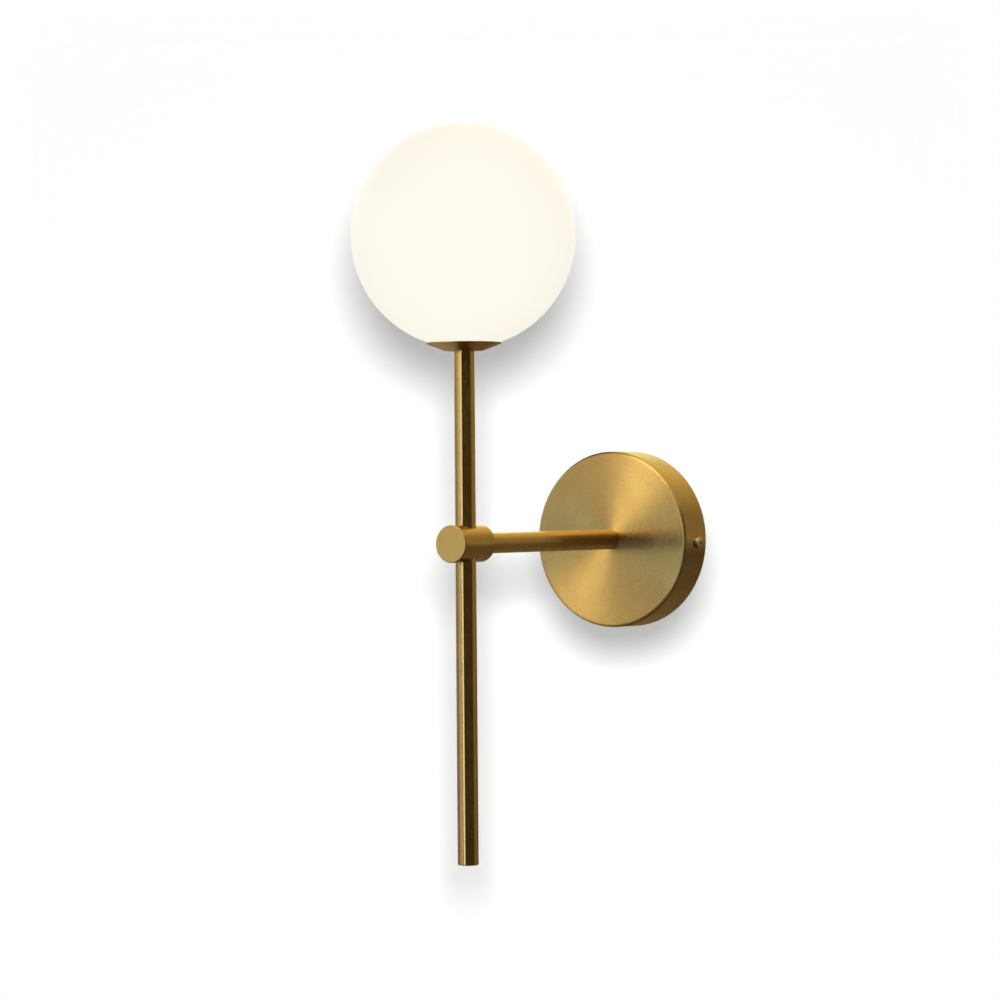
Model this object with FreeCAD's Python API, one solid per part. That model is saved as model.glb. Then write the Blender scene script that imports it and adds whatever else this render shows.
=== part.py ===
import FreeCAD, Part
import math
import os

os.makedirs("parts", exist_ok=True)

# Globe wall sconce. Millimetres, +Z up, +X to the right of someone who faces the wall.
# The origin is on the wall plane, in the middle of the pair of wall screws. The lamp stands out along -Y.
# Pieces on the canopy's and arm's axis are drawn as (right, up, out from the wall) and then turned,
# and pieces on the stem are drawn about +Z and then moved out to the stem.

# Fits
bond_gap = 0.05          # braze or press joint between a round piece and its seat
thread_gap = 0.05        # a screw thread in its tapped hole, drawn plain
hole_gap = 0.25          # a screw or threaded rod in its clearance hole
glass_gap = 0.4          # the glass off the rim of the shade cup
gasket_gap = 0.3         # the glass off its gasket
shade_thread_gap = 0.3   # the shade's ring on the lampholder sleeve
pin_gap = 0.1            # a bulb pin between the leaves of its clip
past = 1.0               # how far a cutting shape runs past the face it cuts
near = 1e-3              # closer than this counts as the same place or direction

# Canopy and its screws
canopy_diameter = 125.0
canopy_depth = 27.5
canopy_wall = 1.2
canopy_edge_radius = 2.0
side_screw_out = 10.7
side_screw_drop = 2.5     # the screws sit a little below the canopy's middle
side_screw_radius = 2.0
side_screw_length = 8.0
side_head_radius = 4.0
side_head_height = 2.4
side_head_crown = 0.35
side_head_round = 1.1
recess_width = 0.9
recess_span = 4.6
recess_depth = 1.5
recess_taper = 0.8
recess_start = 0.1

# Wall bracket, a joggled strip with a bent tab at each end
bracket_thickness = 2.0
bracket_lift = 3.0
bracket_width = 24.0
bracket_middle_half = 29.0
bracket_bend_radius = 1.5
bracket_corner_radius = 3.0
tab_width = 16.0
tab_beyond_screw = 5.5
tab_clearance = 0.5
tab_collar_radius = 3.4
tab_collar_length = 1.5
wall_screw_spacing = 84.0
wall_slot_length = 14.0
wall_slot_radius = 2.4

# Grommet in the bracket's cable hole
cable_bore_radius = 4.5
grommet_web = 1.7
grommet_lip = 1.8
grommet_flange = 1.2

# Two-pole terminal block
block_length = 17.0
block_centre_left = 19.5
pole_pitch = 12.0
pole_width = 6.4
pole_height = 11.0
block_base = 3.0
block_margin = 0.2
pole_edge_radius = 1.0
clamp_width = 4.2
clamp_below = 2.4
clamp_above = 3.4
clamp_recess = 1.5
clamp_bore_radius = 1.3
clamp_axis_height = 4.8
clamp_fit = 0.1
clamp_screw_radius = 1.4
clamp_screw_offset = 4.2
clamp_screw_sink = 1.0
screw_slot_width = 0.6
screw_slot_depth = 0.8
screw_point = 0.3
screw_past = 1.0
block_screw_radius = 1.25
block_screw_head_radius = 2.4
block_screw_head_height = 1.8

# Earth terminal
earth_screw_right = 19.0
earth_screw_radius = 2.0
earth_head_radius = 3.8
earth_head_height = 2.4
lug_thickness = 0.8
lug_ring_width = 2.2
lug_barrel_radius = 1.6
lug_barrel_length = 6.0
lug_socket_depth = 4.0
lug_neck_half = 1.4
lug_neck_lap = 0.5
lug_root_gap = 0.2
lug_nut_gap = 0.6
earth_loop_up = 30.0

# Hollow threaded rods and what clamps them
rod_radius = 5.0
rod_bore_radius = 3.75
rod_in_bush = 9.0
rod_past_nut = 1.7
rod_past_thin_nut = 1.0
washer_radius = 9.0
washer_thickness = 1.5
lock_washer_radius = 7.4
lock_washer_root = 6.3
lock_washer_thickness = 0.8
lock_washer_teeth = 10
lock_washer_gap_width = 1.6
nut_across_flats = 14.0
nut_height = 3.5
nut_chamfer = 0.7

# Tubes and their threaded bushes
tube_diameter = 14.0
tube_wall = 1.0
bush_length = 12.0
arm_length = 159.0
upper_tube_length = 119.3
lower_tube_length = 204.9
lower_end_radius = 0.8
plug_length = 6.0

# Cross boss
boss_diameter = 25.0
boss_length = 34.0
boss_chamfer = 0.5
boss_seat_depth = 3.0
boss_seat_gap = 0.3
boss_chamber_radius = 4.5
boss_thread_depth = 5.5
boss_web = 4.0
thread_runout = 0.5

# Shade cup
cup_rim_radius = 25.3
cup_depth = 5.4
cup_wall = 0.8
cup_lip_height = 0.95
cup_lip_band = 0.5
cup_lip_in = 0.9
cup_floor_room = 0.3

# Lampholder
holder_radius = 10.5
holder_height = 17.0
holder_edge_radius = 1.0
sleeve_room = 0.8
sleeve_wall = 1.2
sleeve_base = 1.5
sleeve_height = 22.0
strap_thickness = 1.0
strap_width = 7.0
strap_rise = 12.9
strap_room = 0.5
strap_flange = 4.6
strap_pad_margin = 0.3
thin_nut_height = 3.0
holder_screw_out = 7.0
holder_screw_radius = 1.5
holder_screw_head_radius = 2.6
holder_screw_head_height = 1.8
holder_screw_head_depth = 8.0
pin_spacing = 9.0
pin_slot_length = 4.2
pin_slot_width = 1.8
pin_slot_depth = 4.5
clip_length = 3.6
clip_leaf = 0.3
clip_height = 9.0
clip_tail = 1.5
clip_tail_half = 0.9
clip_pocket_room = 0.3
clip_above_body_base = 1.5

# Shade and its bonded ring
globe_diameter = 150.0
glass_thickness = 3.0
insert_wall = 2.5
insert_bond = 0.2
insert_height = 9.0
insert_flange = 0.7
insert_flange_thickness = 0.5
gasket_inner_clear = 0.8
gasket_width = 4.8

# Two-pin capsule bulb
bulb_seat_gap = 0.3
pin_wire_radius = 0.5
pin_loop_radius = 1.1
pin_length = 10.5
bulb_block_length = 13.6
bulb_block_width = 8.5
bulb_block_height = 6.7
bulb_block_radius = 1.5
bulb_collar_radius = 8.3
bulb_collar_height = 3.0
bulb_collar_bevel = 0.8
bulb_socket_depth = 1.2
envelope_radius = 7.8
envelope_wall = 0.9
envelope_length = 30.0
board_width = 9.0
board_thickness = 1.0
board_height = 26.0
chip_width = 2.8
chip_height = 3.5
chip_thickness = 0.7
chip_rows = 5
chip_pitch = 4.6
chip_column_offset = 2.1

# Internal leads
lead_radius = 0.9
lead_offset = 1.2
lead_bend_out = 15.0
lead_bend_left = 5.0
lead_boss_bend = 8.0
lead_rise_start = 1.0
lead_rise = 5.2
lead_in_clamp = 2.5
bend_share = 0.45

# Places worked out from the sizes
X, Y, Z = FreeCAD.Vector(1, 0, 0), FreeCAD.Vector(0, 1, 0), FreeCAD.Vector(0, 0, 1)
ORIGIN = FreeCAD.Vector(0, 0, 0)
SQUARE = [(-1, -1), (1, -1), (1, 1), (-1, 1), (-1, -1)]
canopy_radius = canopy_diameter / 2
tube_radius = tube_diameter / 2
tube_bore = tube_radius - tube_wall
boss_radius = boss_diameter / 2
globe_radius = globe_diameter / 2
tapped_radius = rod_radius + thread_gap
rod_hole = rod_radius + hole_gap

tab_half_span = math.sqrt((canopy_radius - canopy_wall - tab_clearance) ** 2 - (tab_width / 2) ** 2)
bracket_front = bracket_lift + bracket_thickness
nut_front = canopy_depth - canopy_wall - washer_thickness - lock_washer_thickness - lug_thickness
rod_rear_out = nut_front - nut_height - rod_past_nut
boss_rear_out = canopy_depth + arm_length
stem_out = boss_rear_out + boss_length / 2
seat_height = boss_radius - boss_seat_depth
cup_base_z = seat_height + upper_tube_length
cup_floor_z = cup_base_z + cup_wall
cup_rim_z = cup_base_z + cup_depth
sleeve_radius = holder_radius + sleeve_room + sleeve_wall
cup_base_radius = sleeve_radius + cup_floor_room
strap_z = cup_floor_z + sleeve_base
holder_nut_z = strap_z + strap_thickness
rod_top_z = holder_nut_z + thin_nut_height + rod_past_thin_nut
holder_z = strap_z + strap_rise
holder_top_z = holder_z + holder_height
clip_z = holder_z + clip_above_body_base
insert_bore = sleeve_radius + shade_thread_gap
insert_radius = insert_bore + insert_wall
opening_radius = insert_radius + insert_bond
rim_inner_radius = cup_rim_radius - cup_wall
globe_z = cup_rim_z + math.sqrt((globe_radius + glass_gap) ** 2 - rim_inner_radius ** 2)
opening_z = globe_z - math.sqrt(globe_radius ** 2 - opening_radius ** 2)
bulb_z = holder_top_z + bulb_seat_gap
collar_z = bulb_z + bulb_block_height
socket_z = collar_z + bulb_collar_height - bulb_socket_depth
clamp_out = bracket_front + clamp_axis_height


def vec(x, y, z):
    return FreeCAD.Vector(x, y, z)


def outline(start, *steps):
    """A closed wire through (a, b) points. A step is a point for a line, or (through, end) for an arc."""
    edges = []
    here = vec(start[0], start[1], 0)
    for step in list(steps) + [start]:
        if isinstance(step[0], tuple):
            through, end = vec(*step[0], 0), vec(*step[1], 0)
            edges.append(Part.Arc(here, through, end).toShape())
        else:
            end = vec(step[0], step[1], 0)
            if end.isEqual(here, near):
                continue
            edges.append(Part.LineSegment(here, end).toShape())
        here = end
    return Part.Wire(edges)


def turned(start, *steps):
    """A turned piece from a (radius, height) outline about +Z."""
    face = Part.Face(outline(start, *steps))
    face.rotate(ORIGIN, X, 90)
    return face.revolve(ORIGIN, Z, 360)


def prism(low, high, start, *steps):
    """An outline in X and Y drawn up from low to high."""
    face = Part.Face(outline(start, *steps))
    face.translate(vec(0, 0, low))
    return face.extrude(vec(0, 0, high - low))


def rod(radius, low, high, x=0.0, y=0.0):
    return Part.makeCylinder(radius, high - low, vec(x, y, low), Z)


def ring(outer, inner, low, high, x=0.0, y=0.0):
    return rod(outer, low, high, x, y).cut(rod(inner, low - past, high + past, x, y))


def cross_rod(radius, start, direction, length):
    return Part.makeCylinder(radius, length, start, direction)


def block(x0, x1, y0, y1, z0, z1):
    return Part.makeBox(x1 - x0, y1 - y0, z1 - z0, vec(x0, y0, z0))


def arc_through(centre, radius, degrees):
    """The point at an angle on a circle in an outline."""
    angle = math.radians(degrees)
    return (centre[0] + radius * math.cos(angle), centre[1] + radius * math.sin(angle))


def edges_along(shape, direction, test):
    """Straight edges along a direction whose middle passes a test."""
    found = []
    for edge in shape.Edges:
        if not isinstance(edge.Curve, (Part.Line, Part.LineSegment)):
            continue
        if abs(abs(edge.tangentAt(edge.FirstParameter).dot(direction)) - 1) > near:
            continue
        middle = edge.valueAt((edge.FirstParameter + edge.LastParameter) / 2)
        if test(middle):
            found.append(edge)
    return found


def from_wall(shape):
    """Turns (right, up, out) into the part's own axes."""
    shape.rotate(ORIGIN, X, 90)
    return shape


def on_stem(shape):
    shape.translate(vec(0, -stem_out, 0))
    return shape


def group(solids):
    return Part.makeCompound(solids)


def hexagon_nut(height, low):
    """A hexagon nut with turned chamfers, its flats square to Y."""
    corner, c, high = nut_across_flats / math.sqrt(3), nut_chamfer, low + height
    body = prism(low, high, *[arc_through((0, 0), corner, 60 * i) for i in range(6)])
    chamfers = turned(
        (0, low), (corner - c, low), (corner + c, low + c), (corner + c, high - c), (corner - c, high),
        (0, high),
    )
    return body.common(chamfers).cut(rod(tapped_radius, low - past, high + past))


def pan_screw():
    """A pan-head screw along +Z: the head stands on z = 0 and the shank goes down."""
    r, length, head = side_screw_radius, side_screw_length, side_head_radius
    shoulder = side_head_height - side_head_crown
    side, flat = shoulder - side_head_round, head - side_head_round
    halfway_up = shoulder + side_head_crown * 3 / 4
    return turned(
        (0, -length), (r - screw_point, -length), (r, -length + screw_point), (r, 0), (head, 0), (head, side),
        (arc_through((flat, side), side_head_round, 45), (flat, shoulder)),
        ((flat / 2, halfway_up), (0, side_head_height)),
    )


def cross_recess(top):
    """The tapered cross cut of a cross-recess head, standing on the head's top."""
    half, wide = recess_span / 2, recess_width / 2
    narrow, high, low = wide * recess_taper, top + recess_start, top - recess_depth
    mouth = Part.makePolygon([vec(x * half, y * wide, high) for x, y in SQUARE])
    bottom = Part.makePolygon([vec(x * wide, y * narrow, low) for x, y in SQUARE])
    wing = Part.makeLoft([mouth, bottom], True, True)
    other = wing.copy()
    other.rotate(ORIGIN, Z, 90)
    return wing.fuse(other)


def slotted(screw, top, length):
    """Cuts a driver slot across the top of a screw that lies on +Z."""
    half = screw_slot_width / 2
    return screw.cut(block(-length, length, -half, half, top - screw_slot_depth, top + past))


def cheese_screw(radius, head_radius, head_height, length):
    """A slotted screw with a plain round head that stands on z = 0, its shank going down."""
    screw = turned(
        (0, -length), (radius - screw_point, -length), (radius, -length + screw_point), (radius, 0),
        (head_radius, 0), (head_radius, head_height - screw_point), (head_radius - screw_point, head_height),
        (0, head_height),
    )
    return slotted(screw, head_height, head_radius + past)


def canopy():
    r, d, e, w = canopy_radius, canopy_depth, canopy_edge_radius, canopy_wall
    outer = (r - e, d - e)
    shell = turned(
        (r, 0), (r, d - e), (arc_through(outer, e, 45), (r - e, d)), (rod_hole, d), (rod_hole, d - w),
        (r - e, d - w), (arc_through(outer, e - w, 45), (r - w, d - e)), (r - w, 0),
    )
    start = vec(-r - past, -side_screw_drop, side_screw_out)
    hole = cross_rod(side_screw_radius + hole_gap, start, X, 2 * (r + past))
    return from_wall(shell.cut(hole))


def canopy_screws():
    screws = []
    for side in (1, -1):
        screw = pan_screw().cut(cross_recess(side_head_height))
        screw.rotate(ORIGIN, Y, 90 * side)
        screw.translate(vec(side * canopy_radius, -side_screw_drop, side_screw_out))
        screws.append(screw)
    return from_wall(group(screws))


def wall_bracket():
    t, lift, middle, tab = bracket_thickness, bracket_lift, bracket_middle_half, tab_half_span
    tab_top = side_screw_out + tab_beyond_screw
    shift = t * math.tan(math.radians(45) / 2)
    right = [(middle, lift), (middle + lift, 0), (tab, 0), (tab, tab_top), (tab - t, tab_top), (tab - t, t),
             (middle + lift + shift, t), (middle + shift, lift + t)]
    wall_side, room_side = right[:4], right[4:]
    mirrored_room = [(-x, z) for x, z in reversed(room_side)]
    mirrored_wall = [(-x, z) for x, z in reversed(wall_side)]
    outline = [*wall_side, *room_side, *mirrored_room, *mirrored_wall]
    strip = prism(-bracket_width / 2, bracket_width / 2, *outline)
    strip.rotate(ORIGIN, X, 90)
    outer_bends = edges_along(strip, Y, lambda p: abs(abs(p.x) - tab) < near and p.z < near)
    strip = strip.makeFillet(bracket_bend_radius + t, outer_bends)
    inner_bends = edges_along(strip, Y, lambda p: abs(abs(p.x) - tab + t) < near and abs(p.z - t) < near)
    strip = strip.makeFillet(bracket_bend_radius, inner_bends)
    strip = strip.common(bracket_plan(tab_top))
    for side in (1, -1):
        tab_root = vec(side * (tab - t), -side_screw_drop, side_screw_out)
        strip = strip.fuse(cross_rod(tab_collar_radius, tab_root, vec(-side, 0, 0), tab_collar_length))
        bore_start = vec(side * (tab + past), -side_screw_drop, side_screw_out)
        bore_length = t + tab_collar_length + 2 * past
        bore = cross_rod(side_screw_radius + thread_gap, bore_start, vec(-side, 0, 0), bore_length)
        strip = strip.cut(bore)
        strip = strip.cut(wall_slot(side * wall_screw_spacing / 2))
    high = bracket_front + past
    strip = strip.cut(rod(cable_bore_radius + grommet_web + bond_gap, 0, high))
    strip = strip.cut(rod(earth_screw_radius + thread_gap, 0, high, earth_screw_right))
    strip = strip.cut(rod(block_screw_radius + thread_gap, 0, high, -block_centre_left))
    return from_wall(strip.removeSplitter())


def bracket_plan(height):
    """The strip's outline seen from the room, wide in the middle and narrow at the tabs."""
    wide, narrow = bracket_width / 2, tab_width / 2
    shoulder = wall_screw_spacing / 2 + wall_slot_length / 2
    quarter = [(canopy_radius, narrow), (shoulder + wide - narrow, narrow), (shoulder, wide)]
    left = [(-x, y) for x, y in reversed(quarter)]
    below = [(x, -y) for x, y in reversed(quarter + left)]
    plan = prism(-past, height + past, *quarter, *left, *below)
    corners = edges_along(plan, Z, lambda p: abs(p.x) < canopy_radius - near)
    return plan.makeFillet(bracket_corner_radius, corners)


def wall_slot(centre_x):
    straight = (wall_slot_length - 2 * wall_slot_radius) / 2
    left, right = centre_x - straight, centre_x + straight
    r = wall_slot_radius
    return prism(
        -past, bracket_thickness + past, (left, -r), (right, -r), ((right + r, 0), (right, r)), (left, r),
        ((left - r, 0), (left, -r)),
    )


def cable_grommet():
    bore, seat = cable_bore_radius, cable_bore_radius + grommet_web
    lip = seat + grommet_lip
    low, high = bracket_lift - grommet_flange, bracket_front + grommet_flange
    soft = grommet_flange / 2
    return from_wall(turned(
        (bore, low), (lip - soft, low), (lip, low + soft), (lip, bracket_lift), (seat, bracket_lift),
        (seat, bracket_front), (lip, bracket_front), (lip, high - soft), (lip - soft, high), (bore, high),
    ))


def terminal_block():
    centre, half = -block_centre_left, block_length / 2
    low = bracket_front
    reach = pole_pitch / 2 + pole_width / 2 + block_margin
    body = block(centre - half, centre + half, -reach, reach, low, low + block_base)
    for side in (1, -1):
        y = side * pole_pitch / 2
        pole = block(centre - half, centre + half, y - pole_width / 2, y + pole_width / 2,
                     low, low + pole_height)
        pole = pole.makeFillet(pole_edge_radius, edges_along(pole, X, lambda p: p.z > low + block_base))
        body = body.fuse(pole)
    for side in (1, -1):
        y = side * pole_pitch / 2
        room = clamp_width / 2 + clamp_fit
        body = body.cut(block(centre - half - past, centre + half + past, y - room, y + room,
                              clamp_out - clamp_below - clamp_fit, clamp_out + clamp_above + clamp_fit))
        for step in (1, -1):
            well_x = centre + step * clamp_screw_offset
            pole_top = low + pole_height + past
            body = body.cut(rod(clamp_screw_radius + hole_gap, clamp_out, pole_top, well_x, y))
    body = body.cut(rod(block_screw_radius + hole_gap, low - past, low + block_base + past, centre))
    return from_wall(body.removeSplitter())


def terminal_clamps():
    clamps = []
    centre, half = -block_centre_left, block_length / 2 - clamp_recess
    high = clamp_out + clamp_above
    for side in (1, -1):
        y = side * pole_pitch / 2
        clamp = block(centre - half, centre + half, y - clamp_width / 2, y + clamp_width / 2,
                      clamp_out - clamp_below, high)
        bore_start = vec(centre - half - past, y, clamp_out)
        clamp = clamp.cut(cross_rod(clamp_bore_radius, bore_start, X, block_length))
        for step in (1, -1):
            well_x = centre + step * clamp_screw_offset
            clamp = clamp.cut(rod(clamp_screw_radius + thread_gap, clamp_out, high + past, well_x, y))
        clamps.append(clamp)
    return from_wall(group(clamps))


def terminal_screws():
    screws = []
    low = clamp_out + lead_radius + bond_gap
    high = bracket_front + pole_height - clamp_screw_sink
    for side in (1, -1):
        for step in (1, -1):
            screw = slotted(rod(clamp_screw_radius, low, high), high, clamp_screw_radius + past)
            screw.translate(vec(-block_centre_left + step * clamp_screw_offset, side * pole_pitch / 2, 0))
            screws.append(screw)
    return from_wall(group(screws))


def block_screw():
    seat = bracket_front + block_base
    shank = seat - bracket_lift + screw_past
    screw = cheese_screw(block_screw_radius, block_screw_head_radius, block_screw_head_height, shank)
    screw.translate(vec(-block_centre_left, 0, seat))
    return from_wall(screw)


def earth_screw():
    seat = bracket_front + lug_thickness
    shank = seat - bracket_lift + screw_past
    screw = cheese_screw(earth_screw_radius, earth_head_radius, earth_head_height, shank)
    screw.translate(vec(earth_screw_right, 0, seat))
    return from_wall(screw)


def lug(hole, root_room):
    """A ring terminal flat on z = 0, with its barrel along +Y and its mouth at the far end."""
    outer = hole + lug_ring_width
    start = outer + root_room
    end = start + lug_barrel_length
    plate = rod(outer, 0, lug_thickness)
    plate = plate.fuse(block(-lug_neck_half, lug_neck_half, 0, start + lug_neck_lap, 0, lug_thickness))
    barrel = cross_rod(lug_barrel_radius, vec(0, start, lug_barrel_radius), Y, lug_barrel_length)
    plate = plate.fuse(barrel)
    plate = plate.cut(rod(hole, -past, lug_thickness + past))
    socket_start = vec(0, end - lug_socket_depth, lug_barrel_radius)
    socket = cross_rod(lead_radius + bond_gap, socket_start, Y, lug_socket_depth + past)
    return plate.cut(socket).removeSplitter(), end


def earth_lugs():
    at_bracket, _ = lug(earth_screw_radius + hole_gap, lug_root_gap)
    at_bracket.translate(vec(earth_screw_right, 0, bracket_front))
    at_rod, _ = lug(rod_hole, nut_room())
    at_rod.rotate(ORIGIN, Y, 180)
    at_rod.translate(vec(0, 0, nut_front + lug_thickness))
    return from_wall(group([at_bracket, at_rod]))


def nut_room():
    """How far the rod lug's barrel starts past its ring, to clear the nut's corners."""
    corner = nut_across_flats / math.sqrt(3)
    return max(lug_root_gap, corner + lug_nut_gap - rod_hole - lug_ring_width)


def canopy_nipple():
    return from_wall(ring(rod_radius, rod_bore_radius, rod_rear_out, canopy_depth + rod_in_bush))


def canopy_washer():
    high = canopy_depth - canopy_wall
    return from_wall(ring(washer_radius, rod_hole, high - washer_thickness, high))


def lock_washer():
    low = nut_front + lug_thickness
    high = low + lock_washer_thickness
    washer = ring(lock_washer_radius, rod_hole, low, high)
    half = lock_washer_gap_width / 2
    for i in range(lock_washer_teeth):
        notch = block(lock_washer_root, lock_washer_radius + past, -half, half, low - past, high + past)
        notch.rotate(ORIGIN, Z, 360 * i / lock_washer_teeth)
        washer = washer.cut(notch)
    return from_wall(washer)


def canopy_nut():
    return from_wall(hexagon_nut(nut_height, nut_front - nut_height))


def arm_tube():
    return from_wall(ring(tube_radius, tube_bore, canopy_depth, boss_rear_out))


def bush(low):
    return ring(tube_bore - bond_gap, tapped_radius, low, low + bush_length)


def arm_bushes():
    return from_wall(group([bush(canopy_depth), bush(boss_rear_out - bush_length)]))


def arm_nipple():
    low, high = boss_rear_out - rod_in_bush, boss_rear_out + boss_rear_thread()
    return from_wall(ring(rod_radius, rod_bore_radius, low, high))


def boss_rear_thread():
    """How far the arm's threaded rod goes into the boss, short of the cross bore by a web."""
    return boss_length / 2 - tapped_radius - boss_web


def cross_boss():
    low, high = boss_rear_out, boss_rear_out + boss_length
    r, c = boss_radius, boss_chamfer
    body = turned((0, low), (r - c, low), (r, low + c), (r, high - c), (r - c, high), (0, high))
    body = body.cut(rod(tapped_radius, low - past, low + boss_rear_thread() + thread_runout))
    body = body.cut(rod(boss_chamber_radius, low, stem_out + boss_chamber_radius))
    thread_end = seat_height - boss_thread_depth - thread_runout
    for side in (1, -1):
        up, seat = vec(0, side, 0), vec(0, side * seat_height, stem_out)
        body = body.cut(cross_rod(tube_radius + boss_seat_gap, seat, up, boss_seat_depth + past))
        body = body.cut(cross_rod(tapped_radius, vec(0, side * thread_end, stem_out), up, seat_height))
    return from_wall(body.removeSplitter())


def stem_nipples():
    low, high = seat_height - boss_thread_depth, seat_height + rod_in_bush
    upper = ring(rod_radius, rod_bore_radius, low, high)
    lower = ring(rod_radius, rod_bore_radius, -high, -low)
    return on_stem(group([upper, lower]))


def upper_tube():
    return on_stem(ring(tube_radius, tube_bore, seat_height, cup_base_z))


def upper_tube_bushes():
    return on_stem(group([bush(seat_height), bush(cup_base_z - bush_length)]))


def lower_tube():
    low, high = -seat_height - lower_tube_length, -seat_height
    e = lower_end_radius
    corner = arc_through((tube_radius - e, low + e), e, -45)
    return on_stem(turned(
        (tube_bore, low), (tube_radius - e, low), (corner, (tube_radius, low + e)), (tube_radius, high),
        (tube_bore, high),
    ))


def lower_tube_bush():
    return on_stem(bush(-seat_height - bush_length))


def lower_tube_plug():
    low = -seat_height - lower_tube_length
    return on_stem(rod(tube_bore - bond_gap, low, low + plug_length))


def cup_slope():
    """The cone of the shade cup: rise per unit of radius, and the wall's thickness measured upright."""
    run = cup_rim_radius - cup_lip_in - cup_base_radius
    slope = (cup_depth - cup_lip_height) / run
    return slope, cup_wall * math.sqrt(1 + slope ** 2)


def cup_inside_z(radius):
    """The height of the cup's inner cone at a radius."""
    slope, upright = cup_slope()
    return cup_base_z + (radius - cup_base_radius) * slope + upright


def shade_cup():
    """A shallow cone of sheet with a flat base and a short upright lip."""
    slope, upright = cup_slope()
    cone_end = cup_rim_radius - cup_lip_in
    floor_end = cup_base_radius - (upright - cup_wall) / slope
    lip_root = rim_inner_radius - cup_wall / 2
    return on_stem(turned(
        (rod_hole, cup_base_z), (cup_base_radius, cup_base_z), (cone_end, cup_rim_z - cup_lip_height),
        (cup_rim_radius, cup_rim_z - cup_lip_band), (cup_rim_radius, cup_rim_z),
        (rim_inner_radius, cup_rim_z), (lip_root, cup_inside_z(lip_root)), (floor_end, cup_floor_z),
        (rod_hole, cup_floor_z),
    ))


def holder_nipple():
    return on_stem(ring(rod_radius, rod_bore_radius, cup_base_z - rod_in_bush, rod_top_z))


def holder_sleeve():
    low, high = cup_floor_z, cup_floor_z + sleeve_height
    inner = sleeve_radius - sleeve_wall
    return on_stem(turned(
        (rod_hole, low), (sleeve_radius, low), (sleeve_radius, high), (inner, high),
        (inner, low + sleeve_base), (rod_hole, low + sleeve_base),
    ))


def holder_strap():
    """The bridge over the nut: a strip bent up at both ends, with its ends turned in to take the screws."""
    reach = sleeve_radius - sleeve_wall - strap_room
    half = math.sqrt(reach ** 2 - (strap_width / 2) ** 2)
    t, low, high, inner = strap_thickness, strap_z, holder_z, half - strap_flange
    right = [
        (half, low), (half, high), (inner, high), (inner, high - t), (half - t, high - t),
        (half - t, low + t),
    ]
    left = [(-x, z) for x, z in reversed(right)]
    strap = prism(-strap_width / 2, strap_width / 2, *right, *left)
    strap.rotate(ORIGIN, X, 90)
    strap.rotate(ORIGIN, Z, 90)
    strap = strap.fuse(rod(nut_across_flats / math.sqrt(3) + strap_pad_margin, low, low + t))
    strap = strap.cut(rod(rod_hole, low - past, low + t + past))
    for side in (1, -1):
        y = side * holder_screw_out
        strap = strap.cut(rod(holder_screw_radius + thread_gap, high - t - past, high + past, 0, y))
    return on_stem(strap.removeSplitter())


def holder_nut():
    return on_stem(hexagon_nut(thin_nut_height, holder_nut_z))


def lampholder_body():
    low, high = holder_z, holder_top_z
    e = holder_edge_radius
    body = turned(
        (0, low), (holder_radius, low), (holder_radius, high - e),
        (arc_through((holder_radius - e, high - e), e, 45), (holder_radius - e, high)), (0, high),
    )
    pocket_x = clip_length / 2 + clip_pocket_room
    pocket_y = pin_wire_radius + pin_gap + clip_leaf + clip_pocket_room
    for side in (1, -1):
        x = side * pin_spacing / 2
        slot_end = high - pin_slot_depth
        body = body.cut(block(x - pocket_x, x + pocket_x, -pocket_y, pocket_y, low - past, slot_end))
        body = body.cut(block(x - pin_slot_length / 2, x + pin_slot_length / 2,
                              -pin_slot_width / 2, pin_slot_width / 2, slot_end - past, high + past))
        y = side * holder_screw_out
        body = body.cut(rod(holder_screw_radius + hole_gap, low - past, high + past, 0, y))
        seat = high - holder_screw_head_depth
        body = body.cut(rod(holder_screw_head_radius + hole_gap, seat, high + past, 0, y))
    return on_stem(body)


def holder_screws():
    screws = []
    seat = holder_top_z - holder_screw_head_depth
    for side in (1, -1):
        screw = cheese_screw(holder_screw_radius, holder_screw_head_radius, holder_screw_head_height,
                             seat - holder_z + strap_thickness + screw_past)
        screw.translate(vec(0, side * holder_screw_out, seat))
        screws.append(screw)
    return on_stem(group(screws))


def holder_contacts():
    """Two spring clips, each with a tail, a base and two leaves that hold a pin loop between them."""
    clips = []
    inner = pin_wire_radius + pin_gap
    outer = inner + clip_leaf
    for side in (1, -1):
        x = side * pin_spacing / 2
        base = clip_z + clip_tail
        clip = block(x - clip_tail_half, x + clip_tail_half, -clip_tail_half, clip_tail_half, clip_z, base)
        top = base + clip_height
        clip = clip.fuse(block(x - clip_length / 2, x + clip_length / 2, -outer, outer, base, top))
        clip = clip.cut(block(x - clip_length, x + clip_length, -inner, inner, base + clip_leaf, top + past))
        clips.append(clip.removeSplitter())
    return on_stem(group(clips))


def glass_under_z(radius):
    """The height of the globe's underside at a radius."""
    return globe_z - math.sqrt(globe_radius ** 2 - radius ** 2)


def shade_gasket():
    inner = opening_radius + insert_flange + gasket_inner_clear
    outer = inner + gasket_width
    middle = (inner + outer) / 2
    through = (middle, glass_under_z(middle) - gasket_gap)
    return on_stem(turned(
        (inner, cup_inside_z(inner)), (outer, cup_inside_z(outer)),
        (outer, glass_under_z(outer) - gasket_gap), (through, (inner, glass_under_z(inner) - gasket_gap)),
    ))


def shade_insert():
    low = opening_z - insert_flange_thickness
    flange = opening_radius + insert_flange
    return on_stem(turned(
        (insert_bore, low), (flange, low), (flange, opening_z), (insert_radius, opening_z),
        (insert_radius, low + insert_height), (insert_bore, low + insert_height),
    ))


def globe_shade():
    """The blown globe with its mouth ground to a round opening."""
    centre = vec(0, 0, globe_z)
    glass = Part.makeSphere(globe_radius, centre).cut(Part.makeSphere(globe_radius - glass_thickness, centre))
    mouth = rod(opening_radius, globe_z - globe_radius - past, globe_z)
    return on_stem(glass.cut(mouth))


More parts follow.
